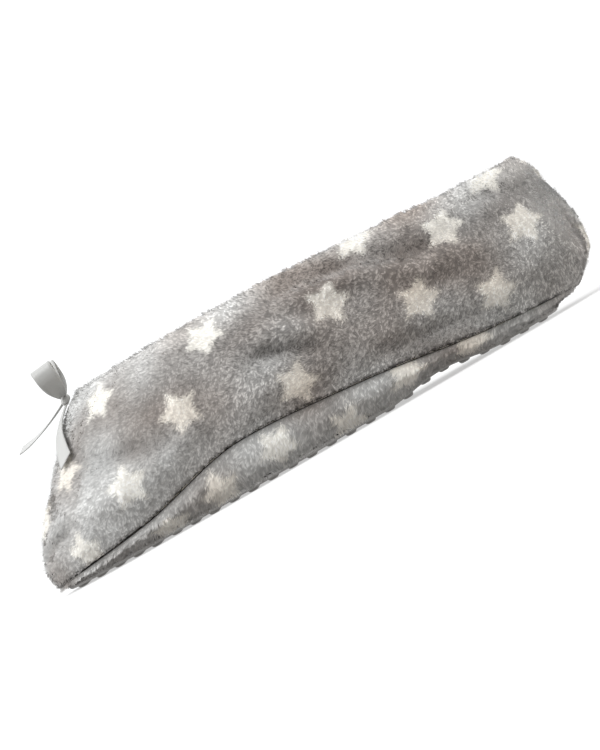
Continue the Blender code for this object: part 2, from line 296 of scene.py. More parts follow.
# Where the cloth comes up to the surface at an edge: over which share of the height, and the share
# of its depth that is left there
LOW_HEM = (0.12, 0.25)
SEAM_HEM = (0.05, 0.5)
PLUSH_GREY = np.array((0.485, 0.483, 0.472))
PLUSH_IN_SHADE = np.array((0.258, 0.228, 0.207))
# Painted shade: the grey is painted darker and warmer between these places, less so low down
# and at the heel, in wide random patches
SHADE_FRONT, SHADE_BACK, SHADE_HEEL = 42.0, 140.0, 195.0
SHADE_LOW = (25.0, 0.5)
SHADE_LEAST, SHADE_GAIN, SHADE_HEEL_LOSS = 0.1, 0.7, 0.9
SHADE_PATCHES = (0.25, 38.0)
RIPPLE_STRAY = (0.7, 1.4)
LINING_CREAM = np.array((0.84, 0.80, 0.725))
FLEECE_GROUND = 0.92
STAR_CREAM = np.array((0.87, 0.85, 0.79))
# Colour of the stars in full painted shade; their painted shade eases off towards the top
STAR_IN_SHADE = np.array((0.77, 0.695, 0.605))
STAR_SHADE_TOP = 62.0
STAR_SHADE_EASE = (25.0, 0.3)
CLOTH_STAR_EDGE = 1.0
# Painted shade on the ground cloth between the tufts, and a darker painted shadow in the seam
CLOTH_SHADE = 0.9
SEAM_SHADOW = 0.4


def level_at(levels, rise):
    rises = [level.rise for level in levels]
    return Level(*(curve(rises, column, rise) for column in zip(*levels)))


def seam_height(share):
    return SEAM_PEAK * curve(HEIGHT_STATIONS, SEAM_SHARES, share)


def sole_surface(rise, turn):
    """Points on the plush side of the sole, from its lower edge (0) to the seam (1)."""
    share, along, across = ring_plan(level_at(SOLE_LEVELS, rise), turn)
    bottom = DOT_HEIGHT + SHEET + GAP + arch(along)
    return place(along, across, bottom + rise * (seam_height(share) - GAP - bottom))


def grid_normals(grid):
    """Outward directions of a grid of rings."""
    round_foot = np.roll(grid, -1, axis=1) - np.roll(grid, 1, axis=1)
    return unit(np.cross(round_foot, np.gradient(grid, axis=0)))


def ripple(points, strength_and_length, seed, waves=10):
    """Smooth random field of a strength, with humps about half a wavelength across."""
    strength, wavelength = strength_and_length
    rng = np.random.default_rng(seed)
    total = np.zeros(len(points))
    for _ in range(waves):
        way = rng.normal(size=3)
        way *= 2 * np.pi / wavelength * rng.uniform(*RIPPLE_STRAY) / np.linalg.norm(way)
        total += np.sin(points @ way + rng.uniform(0, 2 * np.pi))
    return strength * (total / math.sqrt(waves / 2))


def paint(piece, colours):
    layer = piece.data.color_attributes.new("tint", "FLOAT_COLOR", "POINT")
    opaque = np.column_stack([colours, np.ones(len(colours))])
    layer.data.foreach_set("color", opaque.astype(np.float32).reshape(-1))


def tinted_material(name, roughness, sheen, specular):
    """A cloth or pile whose colour is painted on the mesh."""
    material = plain_material(name, (0.5, 0.5, 0.5), roughness, sheen, specular)
    tint = material.node_tree.nodes.new("ShaderNodeVertexColor")
    tint.layer_name = "tint"
    shader = material.node_tree.nodes["Principled BSDF"]
    material.node_tree.links.new(tint.outputs["Color"], shader.inputs["Base Color"])
    return material


# Printed stars by side (-1 outer, 1 inner, 0 the middle of toe or heel), as along, height, and how far
# they lean from upright
Star = namedtuple("Star", "side along height lean")
STAR_POINTS = 5
STAR_RADIUS = 9.0
STAR_REACH = 10.0
STAR_WAIST = 0.56
STAR_FACING = 0.1
STAR_STRAY = 0.7
# Share of the pile's tone, painted light and shade included, that the stars take
STAR_TONE_SHARE = 0.45
BAND_STAR_TOP, BAND_STAR_FRONT = 11.5, 40.0
STAR_CHART = {
    -1: (
        (23, 11, 0), (29, 43, 10), (50, 26, 4), (54, 61, 8), (82, 42, -12), (104, 62, -30),
        (127, 28, -40), (152, 49, -45), (172, 66, -45), (183, 33, -45), (206, 52, -45),
        (211, 20, -45), (234, 38, -45), (229, 67, -45), (58, 3.4, 0), (109, 10, -30),
        (137, 3.2, -40), (165, 9, -45), (193, 7.5, -45), (82, 5, -10),
    ),
    0: ((254, 20, -45), (247, 54, -45), (12, 30, 20)),
    1: (
        (22, 22, 30), (33, 49, 25), (48, 12, 30), (62, 40, 35), (78, 62, 40), (92, 26, 40),
        (112, 48, 40), (132, 67, 40), (138, 28, 40), (160, 44, 40), (182, 62, 40), (188, 24, 40),
        (208, 40, 40), (228, 58, 40), (232, 22, 40), (110, 10, 40), (160, 8, 40), (70, 6, 40),
    ),
}
STARS = [Star(side, *star) for side, stars in STAR_CHART.items() for star in stars]


def on_band(star):
    """Whether a star is printed on the padded sole: the low ones behind the toe are."""
    return star.side and star.height < BAND_STAR_TOP and star.along > BAND_STAR_FRONT


def star_places(grid, normals, wanted):
    """Where each star sits on a grid of rings: centre, out, forward and upward."""
    points, out = grid.reshape(-1, 3), normals.reshape(-1, 3)
    found = []
    for star in wanted:
        miss = np.hypot(along_of(points) - star.along, points[:, 2] - star.height)
        if star.side:
            miss = np.where(out[:, 1] * star.side < 0, np.inf, miss)
        else:
            miss = np.hypot(miss, points[:, 1])
        i = int(np.argmin(miss))
        n = out[i]
        up = np.array((0, 0, 1.0)) - n * n[2]
        up /= np.linalg.norm(up)
        ahead = np.cross(up, n)
        lean = math.radians(star.lean)
        forward = ahead * math.cos(lean) - up * math.sin(lean)
        upward = up * math.cos(lean) + ahead * math.sin(lean)
        found.append((points[i], n, forward, upward))
    return found


def star_share(points, normals, placed, softness):
    """1 inside a star, 0 outside, with a soft edge in millimetres."""
    share = np.zeros(len(points))
    corner = np.pi / STAR_POINTS
    tip = np.array((STAR_RADIUS, 0.0))
    notch = STAR_RADIUS * STAR_WAIST * np.array((math.cos(corner), math.sin(corner)))
    edge = notch - tip
    side = np.array((edge[1], -edge[0])) / np.linalg.norm(edge)
    for centre, n, forward, upward in placed:
        offset = points - centre
        near = np.einsum("ij,ij->i", offset, offset) < STAR_REACH**2
        near &= normals @ n > STAR_FACING
        x, y = offset[near] @ forward, offset[near] @ upward
        turn = np.abs((np.arctan2(x, y) + corner) % (2 * corner) - corner)
        reach = np.hypot(x, y)
        flat = np.stack([reach * np.cos(turn), reach * np.sin(turn)], -1)
        outside = (flat - tip) @ side
        share[near] = np.maximum(share[near], np.clip(0.5 - outside / softness, 0, 1))
    return share


def plush_tint(points, normals, placed, softness, seed=0, tone=1.0):
    """Grey plush with painted shade, darker and warmer behind the vamp, and fuzzy cream stars that take
    the painted shade too.
    """
    along, height = along_of(points), points[:, 2]
    # Painted shade: its share grows behind the vamp and fades low down and at the heel.
    rear = rising(along - SHADE_FRONT, SHADE_BACK - SHADE_FRONT) * rising(height, *SHADE_LOW)
    rear *= 1 - SHADE_HEEL_LOSS * rising(along - SHADE_HEEL, LENGTH - SHADE_HEEL)
    shade_and_patches = np.clip(SHADE_LEAST + SHADE_GAIN * rear + ripple(points, SHADE_PATCHES, 11), 0, 1)[:, None]
    tone = np.broadcast_to(tone, len(points))[:, None]
    grey = (PLUSH_GREY + (PLUSH_IN_SHADE - PLUSH_GREY) * shade_and_patches) * tone
    strayed = points + np.random.default_rng(seed).normal(0, STAR_STRAY, points.shape) * (seed > 0)
    star = star_share(strayed, normals, placed, softness)[:, None]
    # Painted shade on the stars, less the higher they sit.
    shaded = shade_and_patches * rising(STAR_SHADE_TOP - height, *STAR_SHADE_EASE)[:, None]
    cream = (STAR_CREAM + (STAR_IN_SHADE - STAR_CREAM) * shaded) * (1 + STAR_TONE_SHARE * (tone - 1))
    return grey + (cream - grey) * star


sole_turns, sole_rises = np.meshgrid(turns(SOLE_COLUMNS), SOLE_RISES)
band = sole_surface(sole_rises, sole_turns)
band_normals = grid_normals(band)
band_depth = SKIN_DEPTH * rising(sole_rises, *LOW_HEM) * rising(1.0 - sole_rises, *SEAM_HEM)
band_skin = band - band_normals * band_depth[..., None]
band_stars = star_places(band, band_normals, [star for star in STARS if on_band(star)])
ledge = inset(band[-1], LEDGE_INSET)
ledge[:, 2] += LEDGE_RISE
rim = inset(band[-1], RIM_INSET)
footbed = inset(band[-1], FOOTBED_INSET)
footbed[:, 2] = FOOTBED
plush_cloth = tinted_material("grey plush ground", roughness=0.95, sheen=0.0, specular=0.0)
sole_grid = np.concatenate([band_skin, np.stack([ledge, rim, footbed])])
padded_sole = add_rings("padded_sole_wrap", sole_grid, [plush_cloth])
# The band's ground carries painted shade, its last ring a painted shadow of the seam, and the ledge
# inside it a dark painted shadow.
band_tint = CLOTH_SHADE * plush_tint(
    band.reshape(-1, 3), band_normals.reshape(-1, 3), band_stars, CLOTH_STAR_EDGE
)
band_tint[-SOLE_COLUMNS:] *= SEAM_SHADOW
ledge_tint = np.tile(PLUSH_IN_SHADE * SEAM_SHADOW, (SOLE_COLUMNS, 1))
inner_tint = np.tile(LINING_CREAM * FLEECE_GROUND, (2 * SOLE_COLUMNS, 1))
paint(padded_sole, np.concatenate([band_tint, ledge_tint, inner_tint]))
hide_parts("padded_sole")
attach(padded_sole, "root")


# Pile of the padded sole: short plush, brushed forwards and down along the side. It is a little
# shorter at the seam, where the stitches pull it in, and painted darker there as the seam's shadow.

# Tufts have a length, a width and a lean from upright in degrees. A share of them heads the locks
# into which the others gather. Lock shade is how much paler the middle of a lock is painted than
# its edge, as painted shade in the gaps between locks, and spread how much locks differ.
Pile = namedtuple("Pile", "length width lean clump gather swirl grain spread")
BAND_PILE = Pile(
    length=2.2, width=0.27, lean=66, clump=0.12, gather=0.32, swirl=0.5, grain=0.38, spread=0.05
)
BAND_TUFTS = 46000
BAND_LAY_AHEAD, BAND_LAY_DOWN = -0.35, -0.8
BAND_LAY_EASE = 0.3
BAND_TRIM = (0.14, 0.35)
BAND_HANG_DEG, BAND_HANG_REACH = 30.0, 0.2
BAND_HEM_ROWS = 0.25
BAND_PATCHES = (0.05, 14.0)
SEAM_SHADE = 0.35
BAND_SHADE_REACH = 0.06
STAR_EDGE = 1.2
SWIRL_WIDE, SWIRL_TIGHT = (0.5, 12.0), (0.7, 3.4)
LEAN_WAVE, LEAN_STRAY = (6.0, 5.0), 6.0
LENGTH_WAVE, LENGTH_STRAY = (0.12, 6.0), (0.75, 1.2)
LOCK_STRETCH = 1.35
LOCK_EDGE = 1.6
GATHER_STRAY = (0.55, 1.0)
FEWEST_LOCKS = 8
PILE_CLEAR, PILE_HEM = 0.9, 0.5
TUFT_SPREAD = 0.07
TUFT_THICK = 0.04
TUFT_TWIST = 0.22
TUFT_WIDTHS = (0.7, 1.25)
TUFT_FACET = 0.22
# Painted shade at the root of each tuft, where the tufts cast no shadow, easing to the tip
TUFT_SHADE = np.array((0.78, 0.97, 0.97, 1.06)).reshape(1, 4, 1)
TUFT_PALEST = 0.95
CHART_STEP, CHART_MARGIN = 0.0007, 0.01


def falling(value, reach):
    """A share that shrinks with a value, from 1 at 0 to nothing at the reach."""
    return 1 - rising(value, reach)


def scatter(grid, normals, count, seed, crowding=1.0):
    """Random roots on a grid of rings, even by area: points, normals, and row and column places."""
    rng = np.random.default_rng(seed)
    across = np.linalg.norm(np.roll(grid, -1, 1) - grid, axis=-1)
    up = np.linalg.norm(np.diff(grid, axis=0), axis=-1)
    area = (across[:-1] + across[1:]) / 2 * (up + np.roll(up, -1, 1)) / 2 * crowding
    columns = grid.shape[1]
    pick = rng.choice(area.size, size=count, p=area.reshape(-1) / area.sum())
    r, c = pick // columns, pick % columns
    s, t = rng.random(count)[:, None], rng.random(count)[:, None]
    c2 = (c + 1) % columns

    def blend(values):
        low = values[r, c] * (1 - s) + values[r, c2] * s
        high = values[r + 1, c] * (1 - s) + values[r + 1, c2] * s
        return low * (1 - t) + high * t

    return blend(grid), unit(blend(normals)), (r + t[:, 0]) / (len(grid) - 1), (c + s[:, 0]) / columns


def comb(roots, normals, lay, pile, seed, trim=1.0, stand=0.0):
    """Tips of tufts that lean over their lay and gather into locks, and tones with painted shade at the
    locks' edges.
    """
    rng = np.random.default_rng(seed)
    count = len(roots)
    lay = unit(lay - normals * np.einsum("ij,ij->i", lay, normals)[:, None])
    cross = np.cross(normals, lay)
    swirl = pile.swirl * (ripple(roots, SWIRL_WIDE, seed + 1) + ripple(roots, SWIRL_TIGHT, seed + 2))
    way = lay * np.cos(swirl)[:, None] + cross * np.sin(swirl)[:, None]
    stray = rng.normal(0, LEAN_STRAY, count)
    lean = np.radians(pile.lean - stand + ripple(roots, LEAN_WAVE, seed + 3) + stray)
    length = pile.length * trim * (1 + ripple(roots, LENGTH_WAVE, seed + 4))
    length = length * rng.uniform(*LENGTH_STRAY, count)
    reach = normals * np.cos(lean)[:, None] + way * np.sin(lean)[:, None]
    tips = roots + reach * length[:, None]
    heads = rng.choice(count, size=max(int(count * pile.clump), FEWEST_LOCKS), replace=False)
    grain_way = unit(lay.mean(axis=0))
    drawn = roots - np.outer(roots @ grain_way, grain_way) * (1 - 1 / LOCK_STRETCH)
    tree = kdtree.KDTree(len(heads))
    for k, head in enumerate(heads):
        tree.insert(drawn[head], k)
    tree.balance()
    nearest = [tree.find(root) for root in drawn]
    lock = np.array([found[1] for found in nearest])
    gap = np.array([found[2] for found in nearest])
    gather = pile.gather * rng.uniform(*GATHER_STRAY, count)[:, None]
    tips = tips + (tips[heads[lock]] - tips) * gather
    tone = np.random.default_rng(seed + 1).normal(1.0, pile.spread, lock.max() + 1)[lock]
    return tips, tone * (1 + pile.grain * (1 - np.clip(gap / gap.mean(), 0, LOCK_EDGE)))


def mottled(tone, roots, patches, seed):
    """Tones that also differ from tuft to tuft and in wide soft patches."""
    own = np.random.default_rng(seed).normal(1.0, TUFT_SPREAD, len(roots))
    return tone * own * (1 + ripple(roots, patches, seed + 1))


def plant(name, roots, tips, normals, width, colours, seed, material, spot, two_sided=None):
    """One mesh of kite-shaped tufts that cast no shadow, with painted shade at the root, and a flat map
    that follows the wall.
    """
    rng = np.random.default_rng(seed)
    count = len(roots)
    side = unit(np.cross(tips - roots, normals))
    side = unit(side + normals * rng.normal(0, TUFT_TWIST, count)[:, None])
    broad = (width * rng.uniform(*TUFT_WIDTHS, count) / 2)[:, None]
    middles = (roots + tips) / 2
    points = np.stack([roots, middles - side * broad, middles + side * broad, tips], 1)
    flat = unit(np.cross(points[:, 2] - points[:, 1], tips - roots))
    flat *= np.sign(np.einsum("ij,ij->i", flat, normals))[:, None]
    lowest = PILE_CLEAR + arch(along_of(points)) + rng.uniform(0, PILE_HEM, count)[:, None]
    points[..., 2] = np.maximum(points[..., 2], lowest)
    soft = unit(normals * (1 - TUFT_FACET) + flat * TUFT_FACET)
    charted = np.stack([spot[1], spot[0]], 1)
    if two_sided is not None:
        backs = (points - flat[:, None] * TUFT_THICK)[two_sided][:, [0, 2, 1, 3]]
        points = np.concatenate([points, backs])
        soft = np.concatenate([soft, normals[two_sided]])
        colours = np.concatenate([colours, colours[two_sided]])
        charted = np.concatenate([charted, charted[two_sided]])
    first = 4 * np.arange(len(points))[:, None]
    faces = np.concatenate([first + [[0, 2, 1]], first + [[1, 2, 3]]])
    piece = add_piece(name, points, faces, [material])
    piece.visible_shadow = False
    piece.visible_diffuse = False
    paint(piece, np.clip(colours[:, None, :] * TUFT_SHADE, 0, TUFT_PALEST).reshape(-1, 3))
    piece.data.normals_split_custom_set_from_vertices(np.repeat(soft, 4, axis=0))
    kite = np.array(((0, 0), (-1, 1), (1, 1), (0, 2))) * CHART_STEP
    chart = (charted[:, None, :] + kite).reshape(-1, 2)
    chart = np.clip(chart * (1 - 2 * CHART_MARGIN) + CHART_MARGIN, 0, 1)
    layer = piece.data.uv_layers.new(name="OFBake")
    layer.data.foreach_set("uv", chart[faces.reshape(-1)].astype(np.float32).reshape(-1))
    return piece


plush_pile = tinted_material("grey plush pile", roughness=0.85, sheen=0.5, specular=0.0)
roots, out, row, column = scatter(band_skin, band_normals, BAND_TUFTS, seed=21)
lay = np.stack([BAND_LAY_AHEAD * rising(row, BAND_LAY_EASE), 0 * row, 0 * row + BAND_LAY_DOWN], 1)
trim = rising(1 - row, *BAND_TRIM)
hang = BAND_HANG_DEG * falling(row, BAND_HANG_REACH)
tips, tone = comb(roots, out, lay, BAND_PILE, seed=22, trim=trim, stand=hang)
tone = mottled(tone, roots, BAND_PATCHES, seed=24)
# Painted shadow at the seam.
tone = tone * (1 - SEAM_SHADE * falling(1 - row, BAND_SHADE_REACH))
colours = plush_tint((roots + tips) / 2, out, band_stars, STAR_EDGE, seed=27, tone=tone)
sole_pile = plant(
    "padded_sole_pile", roots, tips, out, BAND_PILE.width, colours, seed=26, material=plush_pile,
    spot=(row, column), two_sided=row < BAND_HEM_ROWS,
)
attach(sole_pile, "root")


# Upper: one tube of star plush with a fleece lining, sewn to the padded sole at its lower edge and
# turned over at the collar. Soft folds run where the foot bends.
INSTEP_HEIGHT = 69.5
HEEL_HEIGHT = 61.5
COLLAR_SHARES = (0.88, 1.00, 0.94, 0.62, 0.18, 0.00)
UPPER_LEVELS = (
    Level(0.00, *SEAM),
    Level(0.09, 0.000, 0.979, 0.61, 0.970, 0.885, 0.71),
    Level(0.27, 0.018, 1.000, 0.64, 1.000, 0.915, 0.765),
    Level(0.50, 0.068, 0.998, 0.62, 0.970, 0.890, 0.75),
    Level(0.70, 0.112, 0.988, 0.56, 0.885, 0.815, 0.69),
    Level(0.86, 0.146, 0.980, 0.47, 0.760, 0.715, 0.61),
    Level(1.00, 0.187, 0.963, 0.37, 0.620, 0.600, 0.52),
)
UPPER_COLUMNS = 300
UPPER_ROWS = 72
ROW_CROWDING = 0.9
ROLL_ROWS = 7
LINING_ROWS = 46
LINING_DEPTH = 3.7
LINING_LEAN_IN = 0.15
SEAM_ROWS = 4
SEAM_SEAT = (0.06, 0.35)
# Slack of the cloth as strength and wavelength, held at the seam and at the collar
SLACK_WIDE, SLACK_SMALL = (0.55, 34.0), (0.3, 17.0)
SEAM_HOLD = 0.1
COLLAR_HOLD_TOP, COLLAR_HOLD = 1.04, 0.16
# Painted light: a painted highlight along the collar, weaker over the vamp, and painted shade on
# the shoulder below it
VAMP_BACK, VAMP_EASE = 60.0, 60.0
COLLAR_HIGHLIGHT, VAMP_HIGHLIGHT = 0.62, 0.4
HIGHLIGHT_FROM, HIGHLIGHT_REACH, HIGHLIGHT_POWER = 0.84, 0.16, 1.3
SHOULDER_SHADE, SHOULDER_RISE, SHOULDER_REACH = 0.24, 0.74, 0.12
SEAM_SHADE_REACH = 0.07

# Folds as side, depth (a ridge where negative), half width, and places as along and height
Fold = namedtuple("Fold", "side depth width places")
FOLD_GAIN = 2.1
FOLD_FACING = 2.5
FOLD_ENDS = (0.04, 0.96)
FOLD_FADE = 0.7
FOLDS = (
    Fold(-1, 1.9, 3.6, ((112, 47), (122, 44), (133, 40), (141, 34))),
    Fold(-1, -1.3, 4.5, ((120, 53), (132, 49), (143, 43), (150, 36))),
    Fold(-1, 1.5, 5.0, ((128, 64), (150, 63), (172, 58), (194, 50), (212, 47))),
    Fold(-1, -1.6, 4.5, ((124, 57), (148, 56), (172, 51), (192, 43), (208, 39))),
    Fold(-1, 1.3, 5.0, ((30, 44), (45, 41), (60, 37), (76, 31))),
    Fold(-1, -1.1, 5.0, ((24, 28), (38, 25), (52, 23))),
    Fold(-1, 1.5, 2.4, ((3, 16), (8, 19), (14, 22), (22, 25))),
    Fold(-1, 1.2, 4.5, ((216, 58), (232, 54), (244, 46))),
    Fold(-1, 1.1, 4.0, ((160, 20), (182, 18), (204, 13))),
    Fold(1, 1.7, 4.0, ((116, 49), (126, 45), (138, 38), (144, 31))),
    Fold(1, -1.2, 4.5, ((124, 55), (136, 51), (147, 44))),
    Fold(1, 1.5, 4.5, ((150, 62), (176, 57), (198, 52))),
    Fold(1, 1.2, 5.0, ((26, 33), (42, 32), (60, 30))),
    Fold(1, 1.1, 4.5, ((206, 56), (226, 50), (240, 42))),
)


def collar_height(share):
    climb = curve(HEIGHT_STATIONS, COLLAR_SHARES, share)
    return HEEL_HEIGHT + climb * (INSTEP_HEIGHT - HEEL_HEIGHT)


def upper_surface(rise, turn):
    """Points where the tips of the pile lie, from the seam (0) to the collar (1)."""
    share, along, across = ring_plan(level_at(UPPER_LEVELS, rise), turn)
    low = seam_height(share)
    return place(along, across, low + rise * (collar_height(share) - low))


def from_line(x, y, places):
    """Distance from a line of places, and the share along it."""
    best, where = np.full(len(x), np.inf), np.zeros(len(x))
    knots = np.array(places, float)
    runs = np.linalg.norm(np.diff(knots, axis=0), axis=1)
    start = np.concatenate([[0], np.cumsum(runs)])
    for k, run in enumerate(runs):
        way = (knots[k + 1] - knots[k]) / run
        t = np.clip((x - knots[k, 0]) * way[0] + (y - knots[k, 1]) * way[1], 0, run)
        gap = np.hypot(x - knots[k, 0] - t * way[0], y - knots[k, 1] - t * way[1])
        nearer = gap < best
        best[nearer], where[nearer] = gap[nearer], (start[k] + t[nearer]) / start[-1]
    return best, where


def folds_at(points, normals):
    """How far the cloth sinks in its folds, negative on a ridge."""
    total = np.zeros(len(points))
    for fold in FOLDS:
        gap, where = from_line(along_of(points), points[:, 2], fold.places)
        fade = np.sin(np.pi * np.clip(where, *FOLD_ENDS)) ** FOLD_FADE
        facing = np.clip(normals[:, 1] * fold.side * FOLD_FACING, 0, 1)
        total += FOLD_GAIN * fold.depth * np.exp(-((gap / fold.width) ** 2)) * fade * facing
    return total


def below_collar(rise):
    """How free the wall is to fold: least at the collar, where its roll holds it."""
    return rising(COLLAR_HOLD_TOP - rise, COLLAR_HOLD)


def row_rise(share):
    """Rise of a row of the wall, with close rows at seam and collar."""
    return (1 - np.cos(np.pi * np.clip(share, 0, 1) ** ROW_CROWDING)) / 2


def behind_vamp(points):
    """0 over the vamp and 1 well behind it."""
    return rising(along_of(points) - VAMP_BACK, VAMP_EASE)


def edge_light_and_shade(points, from_seam):
    """Painted highlight towards the collar, painted shade on the shoulder below it, and painted shadow
    at the seam.
    """
    rise, rearward = row_rise(from_seam), behind_vamp(points)
    highlight = COLLAR_HIGHLIGHT * (VAMP_HIGHLIGHT + (1 - VAMP_HIGHLIGHT) * rearward)
    tone = 1 + highlight * rising(rise - HIGHLIGHT_FROM, HIGHLIGHT_REACH) ** HIGHLIGHT_POWER
    shoulder = np.exp(-(((rise - SHOULDER_RISE) / SHOULDER_REACH) ** 2))
    tone *= 1 - SHOULDER_SHADE * rearward * shoulder
    return tone * (1 - SEAM_SHADE * falling(from_seam, SEAM_SHADE_REACH))


turn_grid, rise_grid = np.meshgrid(turns(UPPER_COLUMNS), row_rise(np.linspace(0, 1, UPPER_ROWS)))
wall = upper_surface(rise_grid, turn_grid)
wall_normals = grid_normals(wall)
wall_points = wall.reshape(-1, 3)
slack = ripple(wall_points, SLACK_WIDE, 31) + ripple(wall_points, SLACK_SMALL, 32)
sunk = (folds_at(wall_points, wall_normals.reshape(-1, 3)) - slack).reshape(rise_grid.shape)
sunk = sunk * (rising(rise_grid, SEAM_HOLD) * below_collar(rise_grid))
skin = wall - wall_normals * (SKIN_DEPTH * rising(rise_grid, *SEAM_SEAT) + sunk)[..., None]

collar_up = unit(wall[-1] - wall[-3])
collar_out = wall_normals[-1]
roll_radius = (LINING_DEPTH - SKIN_DEPTH) / 2
roll_middle = wall[-1] - collar_out * (SKIN_DEPTH + roll_radius)
roll_middle = roll_middle - collar_out * sunk[-1][:, None]
roll = np.stack([
    roll_middle + (collar_out * math.cos(bend) + collar_up * math.sin(bend)) * roll_radius
    for bend in np.linspace(0, np.pi, ROLL_ROWS + 2)[1:-1]
])

lining_turns, lining_rises = np.meshgrid(turns(UPPER_COLUMNS), np.linspace(1, 0, LINING_ROWS))
lining_wall = upper_surface(lining_rises, lining_turns)
lining_out = -grid_normals(lining_wall)
level_out = unit(lining_out * np.array((1, 1, 0)))
lean_in = rising(lining_rises, LINING_LEAN_IN)[..., None]
lining_out = unit(level_out * (1 - lean_in) + lining_out * lean_in)
lining_folds = folds_at(lining_wall.reshape(-1, 3), lining_out.reshape(-1, 3))
lining_sunk = np.clip(lining_folds.reshape(lining_rises.shape), 0, None) * below_collar(lining_rises)
lining = lining_wall - lining_out * (LINING_DEPTH + lining_sunk)[..., None]

upper_grid = np.concatenate([skin, roll, lining])
upper_normals = grid_normals(upper_grid)
upper_stars = star_places(wall, wall_normals, [star for star in STARS if not on_band(star)])
lining_cloth = tinted_material("cream fleece ground", roughness=0.95, sheen=0.2, specular=0.1)
upper = add_rings("upper_plush", upper_grid, [plush_cloth, lining_cloth], tube=True)
face_row = np.repeat(np.arange(len(upper_grid)), UPPER_COLUMNS)
lined = face_row >= UPPER_ROWS + ROLL_ROWS - 1
upper.data.polygons.foreach_set("material_index", lined.astype(np.int32))
outside = upper_grid[: UPPER_ROWS + ROLL_ROWS]
outside_normals = upper_normals[: len(outside)]
outside_points = outside.reshape(-1, 3)
outside_rows = np.repeat(np.arange(len(outside)) / (UPPER_ROWS - 1), UPPER_COLUMNS)
# The ground: painted shade between the tufts, the painted highlight of the collar, and the painted shade
# of the shoulder and the seam.
ground = CLOTH_SHADE * plush_tint(
    outside_points, outside_normals.reshape(-1, 3), upper_stars, CLOTH_STAR_EDGE,
    tone=edge_light_and_shade(outside_points, outside_rows),
)
# Painted shadow in the seam at the foot of the upper.
ground[: SEAM_ROWS * UPPER_COLUMNS] *= SEAM_SHADOW
inner_ground = np.tile(LINING_CREAM * FLEECE_GROUND, (lining.size // 3, 1))
# Painted shadow where the lining meets the sole.
inner_ground[-UPPER_COLUMNS:] *= SEAM_SHADOW
paint(upper, np.concatenate([ground, inner_ground]))
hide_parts("upper")
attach(upper, "root")


# Pile of the upper: soft plush that lies down over the vamp and forwards over the heel. It gathers
# into small locks, is calmer over the vamp and shorter at the seam. It is painted darker as shade in
# the folds and paler as a painted highlight on the ridges.
UPPER_PILE = Pile(
    length=1.75, width=0.34, lean=54, clump=0.13, gather=0.4, swirl=0.9, grain=0.66, spread=0.06
)
UPPER_TUFTS = 250000
UPPER_PATCHES = (0.06, 15.0)
VAMP_LAY, REAR_LAY = np.array((-0.5, 0.0, -0.8)), np.array((-1.0, 0.0, -0.3))
VAMP_CALM = 0.6
CREASE_SHADE = 0.125
CREASE_RANGE = (-1.5, 3.5)
TRIM_SHARES, TRIM_LENGTHS = (0.0, 0.06, 0.16), (0.35, 0.6, 1.0)
COLLAR_TUFTS = 0.92
PILE_QUARTERS = ("vamp_pile", "outer_side_pile", "heel_pile", "inner_side_pile")


def upper_lay(points):
    """The way the nap lies."""
    return VAMP_LAY + (REAR_LAY - VAMP_LAY) * behind_vamp(points)[:, None]


def share_from_seam(row):
    """Place of a root between the seam (0) and the last row below the collar's roll (1)."""
    return row * (len(outside) - 1) / (UPPER_ROWS - 1)


roots, out, row, column = scatter(outside, outside_normals, UPPER_TUFTS, seed=41)
from_seam = share_from_seam(row)
trim = np.clip(curve(TRIM_SHARES, TRIM_LENGTHS, from_seam), 0, 1)
tips, tone = comb(roots, out, upper_lay(roots), UPPER_PILE, seed=42, trim=trim)
tone = mottled(tone, roots, UPPER_PATCHES, seed=44)
tone = 1 + (tone - 1) * (VAMP_CALM + (1 - VAMP_CALM) * behind_vamp(roots))
# Painted highlight at the collar, painted shade on the shoulder and painted shadow at the seam.
tone = tone * edge_light_and_shade(roots, from_seam)
# Painted shade in the folds, painted highlight on the ridges.
tone = tone * (1 - CREASE_SHADE * np.clip(folds_at(roots, out), *CREASE_RANGE))
colours = plush_tint((roots + tips) / 2, out, upper_stars, STAR_EDGE, seed=46, tone=tone)
quarters = len(PILE_QUARTERS)
quarter = np.floor((column * quarters + 0.5) % quarters).astype(int)
for number, name in enumerate(PILE_QUARTERS):
    mine = quarter == number
    piece = plant(
        name, roots[mine], tips[mine], out[mine], UPPER_PILE.width, colours[mine], seed=46 + number,
        material=plush_pile, spot=(row[mine], column[mine]), two_sided=from_seam[mine] > COLLAR_TUFTS,
    )
    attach(piece, "root")


# Loose hairs of the upper: longer hairs of the same plush that stand out of the pile here and there,
# and make its edge soft. They are painted paler than the pile, as a painted highlight.
FUZZ_PILE = Pile(
    length=3.0, width=0.09, lean=34, clump=0.5, gather=0.0, swirl=1.4, grain=0.0, spread=0.0
)
FUZZ_HAIRS = 15000
FUZZ_HIGHLIGHT = 1.4
FUZZ_TRIM = (0.16, 0.3)
roots, out, row, column = scatter(outside, outside_normals, FUZZ_HAIRS, seed=51)
trim = rising(share_from_seam(row), *FUZZ_TRIM)
tips, _ = comb(roots, out, upper_lay(roots), FUZZ_PILE, seed=52, trim=trim)
# Painted highlight: the loose hairs are painted paler.
colours = plush_tint(roots, out, upper_stars, STAR_EDGE) * FUZZ_HIGHLIGHT
fuzz = plant(
    "upper_fuzz", roots, tips, out, FUZZ_PILE.width, colours, seed=53, material=plush_pile,
    spot=(row, column), two_sided=np.ones(FUZZ_HAIRS, bool),
)
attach(fuzz, "root")


# Lining: cream curly fleece, sewn to the plush round the collar and caught in the seam with the
# sole. Its pile lies in tight rounded curls.
LINING_PILE = Pile(
    length=2.6, width=0.95, lean=58, clump=0.06, gather=0.5, swirl=2.6, grain=0.42, spread=0.06
)
LINING_TUFTS = 34000
LINING_LAY = (0.3, 0.0, -1.0)
lining_pile = tinted_material("cream fleece pile", roughness=0.9, sheen=0.3, specular=0.1)


